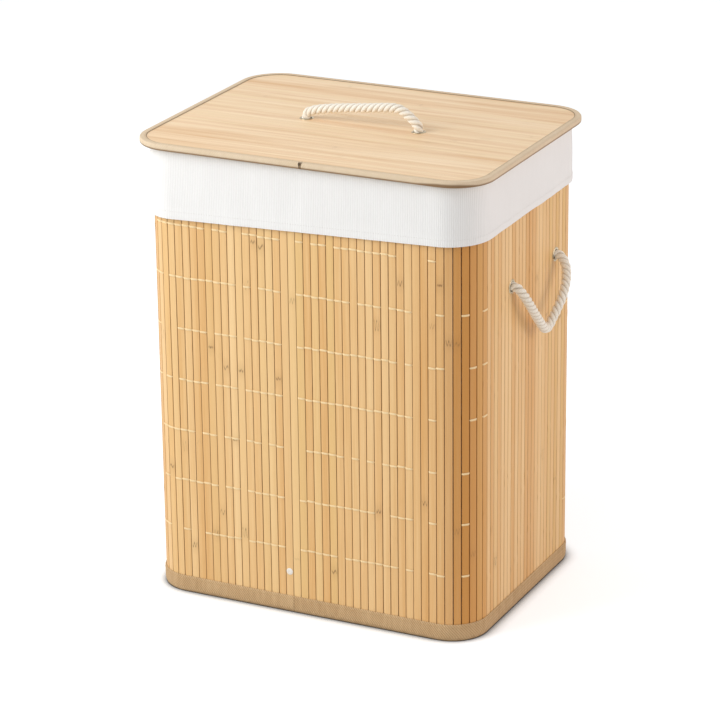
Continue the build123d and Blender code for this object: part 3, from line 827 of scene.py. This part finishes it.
def rope_piece(name, lines, thick, lay):
    corners, faces, uvs = [], [], []
    offset, radius = STRAND_OUT * thick, STRAND_RADIUS * thick
    around = 2 * math.pi * radius
    for line in lines:
        tangents, runs = directions(line), runs_along(line)
        sides = [tangents[0].orthogonal().normalized()]
        for before, after in zip(tangents, tangents[1:]):
            sides.append((before.rotation_difference(after) @ sides[-1]).normalized())
        for strand in range(3):
            outs = []
            for tangent, side, run in zip(tangents, sides, runs):
                angle = -2 * math.pi * (run / lay + strand / 3)
                outs.append(side * math.cos(angle) + tangent.cross(side) * math.sin(angle))
            centres = [spot + out * offset for spot, out in zip(line, outs)]
            base = len(corners)
            faces += [tuple(base + c for c in face) for face in capped_tube(len(line), STRAND_SIDES)]
            for centre, out, ahead, run in zip(centres, outs, directions(centres), runs):
                over = ahead.cross(out).normalized()
                for k in range(STRAND_SIDES):
                    angle = 2 * math.pi * k / STRAND_SIDES
                    corners.append(centre + (out * math.cos(angle) + over * math.sin(angle)) * radius)
                    uvs.append((run * YARN_STRETCH, k / STRAND_SIDES * around))
    shape = mesh(name, corners, faces)
    mark(shape, crown=[math.cos(2 * math.pi * v / around) for _, v in uvs])

    def corner_uv(face, corner):
        ring = [uvs[c][1] for c in shape.polygons[face].vertices]
        u, v = uvs[corner]
        return (u, v + around) if v == 0 and max(ring) > around / 2 and len(ring) == 4 else (u, v)

    return cloth_piece(name, shape, corner_uv, rope_finish, 70)


for side, label in ((1, "right"), (-1, "left")):
    line = route_line([(side * x, y, z) for x, y, z in SIDE_ROUTE])
    rope = rope_piece(label + "_rope", [line], ROPE, ROPE_LAY)
    knot_lines = []
    for hole in EYELET_ALONG:
        x, y, z = 1000 * WALL_HALF[0], 1000 * hole, 1000 * EYELET_RISE
        knot_lines.append(route_line([(side * (x - inwards), y + aside, z - down)
                                      for inwards, aside, down in KNOT_ROUTE]))
    knots = rope_piece(label + "_rope_knots", knot_lines, KNOT_ROPE, KNOT_LAY)
    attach(knots, "hamper")
    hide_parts(label + "_handle_knots")
    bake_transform(rope)
    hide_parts(label + "_handle_rope")
    round(runs_along(line)[-1], 3)


# Liner.
# A bag of white ribbed cotton hangs inside the wall. Its top is folded out over the rim and down the
# outside as a deep cuff with a sewn hem, and the rope knots push it inwards a little.
LINER_THICK = 0.0011
HEM, CUFF_TOP, RIM = 0.4536, 0.5216, 0.524
HEM_SLOPE, HEM_LOWER = 0.034, 0.001  # the cuff is folded by hand, deeper at the left than at the right
HEM_SEAM, HEM_STITCH_OUT, HEM_PITCH = 0.008, 0.00315, 0.0032
CUFF_OUT, BAG_OUT = 2.0, -6.6  # middle of the cloth, out from the slats, in mm
CUFF_LOOSE, CUFF_FOLD, CUFF_RIPPLE = 0.0008, 0.0016, 0.0005
BAG_LOOSE, BAG_FOLD, BAG_CREASE = 0.0012, 0.0035, 0.0014
FLOOR_RINGS = (0.96, 0.88, 0.76, 0.62, 0.46, 0.30, 0.14)
FLOOR_LEVEL, FLOOR_SWELL, FLOOR_RIPPLE = 0.0067, 0.0009, 0.0006
STRAP_SPOTS, STRAP_ROOM = (-0.105, 0.105), 0.024
KNOT_HEIGHT, KNOT_SIZE, KNOT_BUMP = 0.379, (0.019, 0.023), 0.0185
liner_cotton = woven("liner_cotton", "F7F7F6", "E9E8E6", 0.0021, 0.0042, 0.0, 0.3, 0.0004, 0.1)
cuff_rows = [(CUFF_OUT + 0.45, HEM), (CUFF_OUT + 0.60, HEM + 0.0012), (CUFF_OUT + 0.60, HEM + 0.004),
             (CUFF_OUT + 0.45, HEM + 0.008), (CUFF_OUT + 0.15, HEM + 0.0095)]
cuff_rows += [(CUFF_OUT, HEM + 0.0125 + 0.0555 * i / 9) for i in range(10)]
cuff_rows += [(1.85, 0.5235), (1.3, 0.5245), (0.3, 0.5250), (-1.6, 0.5250), (-3.2, 0.5246), (-4.3, 0.5236),
              (-4.9, 0.5215), (-5.3, 0.5180), (-5.8, 0.5120), (-6.3, 0.5040)]
bag_rows = [(BAG_OUT, 0.496 - 0.478 * i / 44) for i in range(45)]
bag_rows += [(-6.9, 0.0125), (-7.8, 0.0090), (-9.6, 0.0072)]
liner_rows = [(out / 1000, height) for out, height in cuff_rows + bag_rows]
liner_spots = outline(*WALL_HALF, WALL_CORNER, 0.0, step=0.0085, bends=11)[:-1]
count = len(liner_spots)
liner_runs = runs_along([spot for spot, _ in liner_spots + liner_spots[:1]])
liner_depths = runs_along(liner_rows)


def part_of(room, value):
    return min(1.0, max(0.0, value / room))


def wave(spot, fine, level):
    return noise.noise(Vector((spot.x * fine, spot.y * fine, level)))


def folded_down(spot, height):
    """The height of a point of the cuff once the uneven fold has moved it."""
    share = max(0.0, (CUFF_TOP - height) / (CUFF_TOP - HEM))
    return height + share * (HEM_SLOPE * spot.x - HEM_LOWER)


def cuff_wave(spot, height):
    """How far the cuff stands off the wall, in metres: soft upright folds that fade out at the rim."""
    away = min(abs(spot.x - x) for x in STRAP_SPOTS) if spot.y > 0.1 else 1.0
    held = part_of(0.03, away - STRAP_ROOM) * part_of(0.03, RIM - height)
    fold, ripple = wave(spot, 16, height * 5 + 3.1), wave(spot, 55, height * 9 + 8.7)
    return max(0.0, CUFF_LOOSE + CUFF_FOLD * fold + CUFF_RIPPLE * ripple) * held


def bag_wave(spot, height):
    """How far the bag hangs inwards, in metres: loose folds, and a bump over each rope knot."""
    held = part_of(0.05, height - 0.02) * part_of(0.04, 0.515 - height)
    fold, crease = wave(spot, 9, height * 3.2 + 21.0), wave(spot, 26, height * 6 + 5.0)
    loose = held * max(0.0, BAG_LOOSE + BAG_FOLD * fold + BAG_CREASE * crease)
    if abs(spot.x) < 0.15:
        return loose
    up = (height - KNOT_HEIGHT) / KNOT_SIZE[1]
    bump = max(math.exp(-((spot.y - y) / KNOT_SIZE[0]) ** 2 / 2 - up ** 2 / 2) for y in EYELET_ALONG)
    return max(loose, KNOT_BUMP * bump)


corners = []
for out, height in liner_rows:
    for spot, normal in liner_spots:
        stand, level = out, height
        if out > 0.0019:
            stand += cuff_wave(spot, height)
            level = folded_down(spot, height)
        elif out < -0.0057:
            stand -= bag_wave(spot, height)
        corners.append(spot + normal * stand + Vector((0, 0, level)))
base_ring = corners[-count:]
for share in FLOOR_RINGS:
    rise = FLOOR_LEVEL + FLOOR_SWELL * (0.5 + 0.5 * noise.noise(Vector((share * 9, 1.0, 0.0))))
    for spot in base_ring:
        ripple = FLOOR_RIPPLE * max(0.0, wave(spot * share, 22, 4.0))
        corners.append(Vector((spot.x * share, spot.y * share, rise + ripple)))
faces = tube_faces(len(liner_rows) + len(FLOOR_RINGS), count)
last_ring = len(corners) - count
faces += [(last_ring + i, last_ring + (i + 1) % count, len(corners)) for i in range(count)]
corners.append(Vector((0, 0, rise)))
liner_shape = mesh("liner_cloth", corners, faces)
wall_faces = (len(liner_rows) - 1) * count


def liner_uv(face, corner):
    row, i = divmod(corner, count)
    if face >= wall_faces:
        return corners[corner].xy
    return liner_runs[count if i == 0 and face % count == count - 1 else i], liner_depths[row]


liner_sheet = cloth_piece("liner_sheet", liner_shape, liner_uv, liner_cotton)
cloth = liner_sheet.modifiers.new("cloth", "SOLIDIFY")
cloth.thickness = LINER_THICK
cloth.offset = 0.0
cloth.use_rim = True
bpy.context.view_layer.update()
thick_liner = liner_sheet.evaluated_get(bpy.context.evaluated_depsgraph_get())
liner_shape = bpy.data.meshes.new_from_object(thick_liner)
liner_sheet.modifiers.clear()
liner_sheet.data = liner_shape
smooth(liner_shape, 60)
hem_stitch = stitch_pattern("hem_stitch", 0.0022, 0.0005)
hem_line = [spot + normal * (HEM_STITCH_OUT + cuff_wave(spot, HEM + HEM_SEAM))
            + Vector((0, 0, folded_down(spot, HEM + HEM_SEAM + 0.0002))) for spot, normal in liner_spots]
hem_thread = dyed_thread("hem_thread", "DEDCD8", "F8F7F5")
hem_stitches = stitches("liner_hem_stitches", hem_line + hem_line[:1], hem_stitch, HEM_PITCH, hem_thread,
                        "hamper")
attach(liner_sheet, "hamper")
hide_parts("liner")


# Hinge straps.
# Two lengths of cotton webbing are riveted to the back of the wall, run up outside the cuff, bend over
# at the rim and are sewn under the lid's back edge, so they are the hinge.
STRAP_HALF = 0.015
STRAP_THICK, STRAP_EDGE = 0.0008, 0.55  # the woven edge is thinner, by this share
STRAP_COLUMNS = (-1.0, -0.93, -0.5, 0.0, 0.5, 0.93, 1.0)
STRAP_LINE = (  # back, up, in mm, from the lower end
    (151.3, 392.6), (151.3, 400.0), (151.3, 412.0), (151.3, 424.6), (151.55, 428.2), (152.2, 432.0),
    (153.0, 435.0), (153.3, 438.5), (153.3, 460.0), (153.3, 490.0), (153.3, 515.0), (153.3, 522.0),
    (153.38, 523.8), (153.75, 524.8), (154.4, 525.25), (155.2, 525.42), (156.3, 525.46), (158.0, 525.46),
    (160.3, 525.46))
strap_web = woven("strap_webbing", "E6D8BE", "B59E78", 0.0026, 0.0036, 1.0, 0.4, 0.0004, 0.05)
points = [Vector((0, y / 1000, z / 1000)) for y, z in STRAP_LINE]
runs = runs_along(points)
run = runs[-1]
for label, x in zip(("left", "right"), STRAP_SPOTS):
    corners, uvs = [], []
    for point, tangent, depth in zip(points, directions(points), runs):
        away = Vector((0, tangent.z, -tangent.y))
        for face in (1, -1):
            for share in STRAP_COLUMNS[::face]:
                thick = STRAP_THICK / 2 * (STRAP_EDGE if abs(share) == 1 else 1.0)
                corners.append(point + away * thick * face + Vector((x + share * STRAP_HALF, 0, 0)))
                uvs.append((share * STRAP_HALF, depth))
    strap_shape = mesh(label + "_strap", corners, capped_tube(len(points), 2 * len(STRAP_COLUMNS)))
    strap = cloth_piece(label + "_hinge_strap", strap_shape, lambda face, corner: uvs[corner], strap_web, 50)
    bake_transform(strap)
    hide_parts("hinge_straps", "hinge_tabs")
dress(nickel, "hinge_rivets")


# Lid slats.
# The lid's top is the same bamboo, planed smoother, laid left to right and glued to the board. The
# strips are cut round at the corners and drilled for the rope's eyelets.
LID_HALF, LID_CORNER = (0.2103, 0.1603), 0.0453
LID_BASE, LID_TOP = 0.5299, 0.5323
LID_COUNT = 34
LID_GAP = 0.00006
LID_CROWN = ((0.5, 0.07), (0.488, 0.02), (0.30, 0.004), (0.0, 0.0))
LID_HOLES, LID_HOLE_HEIGHT, LID_DRILL_DEPTH = (-0.069, 0.069), 0.5310, 0.008
lid_bamboo = bamboo("lid_bamboo", ("FDE6C4", "EAC293", "F3D8AE", "C69A62", "8E6438"),
                    {"Contrast": 0.30, "Fibre": 0.60, "Scars": 0.30, "Edge": 0.08}, 0.25)
tree, shader, strip_colour = painted(lid_bamboo)
lid_x, lid_y, _ = apart(lies_at(tree))
streak = speckle(vector(tree, lid_x * 2.4, lid_y * 60.0, 0.0), 1.0, 5.0, Roughness=0.6)
streaked = streak.span(0.46, 0.70, 0.0, 0.85).mix(strip_colour, paint("DDB07C"))
# Painted shade: a dark line along the slats' front edge, seen as the shade inside the edge tape's notch.
notch_back_shade = lid_y.span(-0.1594, -0.1601, 0.0, 0.9)
fill(shader, {"Base Color": notch_back_shade.mix(streaked, paint("4A3018"))})

lid_top, given = shape_tree("lid_top", Object=("Strip", "Holes"), Int=("Seed",), Float=(
    "Half Length", "Half Depth", "Corner", "Top", "Strip Width"))
rows_at = grown(given["Geometry"], given["Seed"], (0.03, 0.19), (0.22, 0.40))
laid = stand_on(rows_at, given["Strip"])
spot = apart(position(lid_top))
of_strip = reader(rows_at, vector(lid_top, 0.0, spot[1], given["Top"]))
past_bend = (abs(spot[1]) - (given["Half Depth"] - given["Corner"])).run("MAXIMUM", 0.0)
bend_square = given["Corner"].run("POWER", 2.0) - past_bend.run("POWER", 2.0)
end_at = bend_square.run("MAXIMUM", 0.0).run("SQRT") + (given["Half Length"] - given["Corner"])
laid = moved(laid, Position=vector(lid_top, named(lid_top, "unit") * end_at, spot[1], spot[2]))
laid = drilled(laid, given["Holes"])
row_spot = apart(of_strip(position(lid_top), "FLOAT_VECTOR"))
laid = store(laid, "across", (spot[1] - row_spot[1]) / (given["Strip Width"] * 0.5))
laid = store(laid, "along", spot[0] + given["Half Length"])
laid = store(laid, "brown", 0.0)
for name in ("strip", "ring_a", "ring_b"):
    laid = store(laid, name, of_strip(named(lid_top, name)))
end_shape(laid, given)

lid_pitch = 2 * LID_HALF[1] / LID_COUNT
lid_feet = [(0, lid_pitch * (i + 0.5) - LID_HALF[1], LID_TOP) for i in range(LID_COUNT)]
strip_flat = strip_pattern("lid_strip_pattern", lid_pitch - LID_GAP, LID_TOP - LID_BASE, LID_CROWN,
                           [{"unit": u} for u in (-1.0, -0.5, 0.0, 0.5, 1.0)])
strip_flat.data.transform(Matrix(((0, 0, 1, 0), (1, 0, 0, 0), (0, -1, 0, 0), (0, 0, 0, 1))))
lid_drills = drills("lid_drills", [(x, 0.0, LID_HOLE_HEIGHT) for x in LID_HOLES], Matrix.Identity(4),
                    EYELET_HOLE, LID_DRILL_DEPTH)
lid_slats = run_tree(lid_top, "lid_slat_top", mesh("lid_rows", lid_feet, []), {
    "Strip": strip_flat, "Holes": lid_drills, "Half Length": LID_HALF[0], "Half Depth": LID_HALF[1],
    "Corner": LID_CORNER, "Top": LID_TOP, "Strip Width": lid_pitch - LID_GAP, "Seed": 23,
    "Material": lid_bamboo})
smooth(lid_slats.data, 40)
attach(lid_slats, "lid")
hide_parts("lid_slats")


# Edge tape of the lid.
# The same twill in a finer weave is folded round the lid's edge and glued down. Its two ends meet in
# the middle of the front edge and leave a small open notch.
LID_EDGE_HALF, LID_EDGE_CORNER = (0.211, 0.161), 0.046
LID_TAPE_SEAM, LID_TAPE_SLIT = 0.004, 0.0004
NOTCH_FOOT, NOTCH_HEAD, NOTCH_OPEN = 0.5262, 0.5329, 0.0014  # a small V between the tape's ends
LID_TAPE_SECTION = (  # out, up, in mm, from the upper edge inwards and round the fold
    (-0.9, 532.86), (-3.5, 532.9), (-7.2, 532.88), (-8.0, 532.6), (-7.6, 532.34), (-1.6, 532.32),
    (-0.66, 531.6), (-0.62, 527.2), (-1.4, 526.52), (-7.6, 526.48), (-8.0, 526.2), (-7.2, 525.92),
    (-2.2, 525.9), (-0.9, 526.15), (-0.2, 526.9), (0.0, 528.0), (0.0, 530.8), (-0.2, 532.0))
LID_STITCH_IN, LID_STITCH_HEIGHT, LID_STITCH_PITCH = 0.0058, 0.53292, 0.0036
lid_tape = woven("lid_tape_twill", "ECDAC0", "CFB592", 0.0022, 0.0030, 1.0, 0.4, 0.0003, 0.05)
tree, shader, tape_colour = painted(lid_tape)
edge_x, edge_y, edge_z = apart(lies_at(tree))
# Painted shade: dark strokes along both sides of the notch between the tape's ends.
from_cut = abs(edge_x - LID_TAPE_SEAM) - edge_z.span(NOTCH_FOOT, NOTCH_HEAD, 0.0, NOTCH_OPEN)
notch_shade = from_cut.span(0.0004, 0.0012, 0.92, 0.0) * edge_y.span(-0.157, -0.159)
# Painted shade: at the front right corner the dark lower fold reaches higher up the tape.
corner_shade = edge_x.span(0.140, 0.165) * edge_y.span(-0.140, -0.155)
fold_height = corner_shade * -0.0020 + edge_z
# Painted shade along the tape's lower fold and its underside.
low_fold_shade = fold_height.span(0.5272, 0.5290, 0.85, 0.0) * edge_z.span(0.52592, 0.52625)
tape_across = cloth_at(tree)[1]
# Painted shade: a thin dark line where the tape's inner edge meets the slats.
inner_edge_shade = tape_across.span(0.0058, 0.0066, 0.0, 0.75) * tape_across.span(0.0076, 0.0080, 1.0, 0.0)
edge_colour = low_fold_shade.run("MAXIMUM", inner_edge_shade).mix(tape_colour, paint("7C5C3A"))
fill(shader, {"Base Color": notch_shade.mix(edge_colour, paint("3C2714"))})
lid_spots = outline(*LID_EDGE_HALF, LID_EDGE_CORNER, LID_TAPE_SEAM, LID_TAPE_SLIT, bends=14)
lid_section = [(d / 1000, z / 1000) for d, z in LID_TAPE_SECTION]


def notch(row, corner):
    """The tape's ends part at the front in a V that opens upwards."""
    ends = {0: 1, len(lid_spots) - 1: -1}
    out, up = lid_section[corner]
    opened = max(0.0, (up - NOTCH_FOOT) / (NOTCH_HEAD - NOTCH_FOOT)) if out > -0.001 else 0.0
    return Vector((ends.get(row, 0) * NOTCH_OPEN * opened, 0, 0))


lid_edge = sweep("lid_binding_tape", lid_section, lid_spots, lid_tape, notch)
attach(lid_edge, "lid")
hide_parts("lid_binding")
lid_stitch = stitch_pattern("lid_stitch", 0.0024, 0.0004)
lid_line = [spot - normal * LID_STITCH_IN + Vector((0, 0, LID_STITCH_HEIGHT)) for spot, normal in lid_spots]
stitches("lid_binding_stitches", lid_line, lid_stitch, LID_STITCH_PITCH, tape_thread, "lid")
dress(nickel, "lid_eyelets", "lid_washers")


# Lid handle.
# A shorter length of the same rope stands up as a low arch by its own stiffness. Both ends go down
# through eyelets and are knotted under the lid.
LID_UNDER = 529.5
LID_ROUTE = (
    (-69.0, 0.0, 521.0), (-69.0, 0.0, 531.0), (-69.0, 0.0, 538.4), (-60.0, 0.0, 542.8), (-40.0, 0.0, 547.0),
    (-16.0, 0.0, 550.0), (8.0, 0.0, 552.7), (31.0, 0.0, 556.0), (46.0, 0.0, 556.4), (57.0, 0.0, 549.6),
    (64.0, 0.0, 543.4), (69.0, 0.0, 538.4), (69.0, 0.0, 531.0), (69.0, 0.0, 521.0))
line = route_line(LID_ROUTE)
lid_rope = rope_piece("lid_rope", [line], ROPE, ROPE_LAY)
lid_knot_lines = [route_line([(1000 * x + aside, -down, LID_UNDER - inwards)
                              for inwards, aside, down in KNOT_ROUTE]) for x in LID_HOLES]
lid_knots = rope_piece("lid_rope_knots", lid_knot_lines, KNOT_ROPE, KNOT_LAY)
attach(lid_knots, "lid")
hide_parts("lid_handle_knots")
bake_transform(lid_rope)
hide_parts("lid_handle_rope")
round(runs_along(line)[-1], 3)

for tool in (slat_pattern, eyelet_drills, thread_pattern, tape_stitch, hem_stitch, strip_flat, lid_drills,
             lid_stitch):
    bpy.data.objects.remove(tool)


# Studio.
# A plain pale floor that runs out to a white background, a broad soft key from the front left, and
# the camera at the photograph's angle.
SKY = 0.58
LAMPS = {  # spot, size, power, colour
    "key": ((-1.2, -1.2, 1.5), 1.3, 25.5, (1.0, 1.0, 1.0)),
    "fill": ((2.3, 0.7, 1.0), 1.8, 17.0, (1.0, 0.83, 0.78))}
FLOOR_REACH = 6.0
FLOOR_GLOW, GLOW_TINT = 0.48, (0.94, 1.0, 1.06, 1.0)  # takes the side light's warmth out of the white
FOOT_SHADE = 0.016  # how far the painted contact shadow under the hamper reaches over the floor
CAMERA_TURN, CAMERA_RISE, CAMERA_ROLL = 26.14, 20.13, -0.641
CAMERA_DISTANCE = 3.6803
CAMERA_AIM = Vector((0, 0, 0.263))
CAMERA_LENS = 162.05
CAMERA_SHIFT = (-0.0067, -0.0092)


def seen_directly(tree):
    seen, glossy, through = (place(tree, "ShaderNodeLightPath", (), "Is %s Ray" % kind)
                             for kind in ("Camera", "Glossy", "Transmission"))
    return seen.run("MAXIMUM", glossy).run("MAXIMUM", through)


floor_corners = [(x * FLOOR_REACH, y * FLOOR_REACH, 0) for x, y in ((-1, -1), (1, -1), (1, 1), (-1, 1))]
floor = add_piece("studio_floor", mesh("studio_floor", floor_corners, [(0, 1, 2, 3)]))
floor_finish, tree, shader = material("studio_paper")
# Painted contact shadow: the floor's colour darkens, and its glow fades, where the hamper's foot is close
# by.
contact_shadow = place(tree, "ShaderNodeAmbientOcclusion", {"Distance": FOOT_SHADE}, "AO", samples=12)
fill(shader, {"Base Color": contact_shadow.span(0.28, 0.72).mix(paint("2E2A28"), paint("EDEDEC")),
              "Roughness": 0.9, "Specular IOR Level": 0.1})
glow = place(tree, "ShaderNodeEmission", {
    "Color": GLOW_TINT, "Strength": contact_shadow.span(0.45, 0.98, 0.0, FLOOR_GLOW) * seen_directly(tree)})
fill(tree.nodes["Material Output"],
     {"Surface": place(tree, "ShaderNodeAddShader", {0: Wire(tree, shader.outputs[0]), 1: glow})})
floor.data.materials.append(floor_finish)

world = bpy.data.worlds.new("studio")
world.use_nodes = True
scene.world = world
fill(world.node_tree.nodes["Background"],
     {"Strength": seen_directly(world.node_tree).span(0.0, 1.0, SKY, 1.0), "Color": (1, 1, 1, 1)})

for name, (spot, size, power, colour) in LAMPS.items():
    lamp = add_piece(name, bpy.data.lights.new(name, "AREA"))
    lamp.data.energy = power
    lamp.data.size = size
    lamp.data.color = colour
    lamp.location = spot
    lamp.rotation_euler = (CAMERA_AIM - Vector(spot)).to_track_quat("-Z", "Y").to_euler()

turn, rise, roll = map(math.radians, (CAMERA_TURN, CAMERA_RISE, CAMERA_ROLL))
back = Vector((math.sin(turn) * math.cos(rise), -math.cos(turn) * math.cos(rise), math.sin(rise)))
right = Vector((math.cos(turn), math.sin(turn), 0))
up = back.cross(right)
rolled_right = right * math.cos(roll) + up * math.sin(roll)
rolled_up = up * math.cos(roll) - right * math.sin(roll)
camera = add_piece("camera", bpy.data.cameras.new("camera"))
camera.data.lens = CAMERA_LENS
camera.data.shift_x, camera.data.shift_y = CAMERA_SHIFT
axes = Matrix((rolled_right, rolled_up, back)).transposed().to_4x4()
camera.matrix_world = Matrix.Translation(CAMERA_AIM + back * CAMERA_DISTANCE) @ axes
scene.camera = camera
scene.view_settings.view_transform = "Standard"
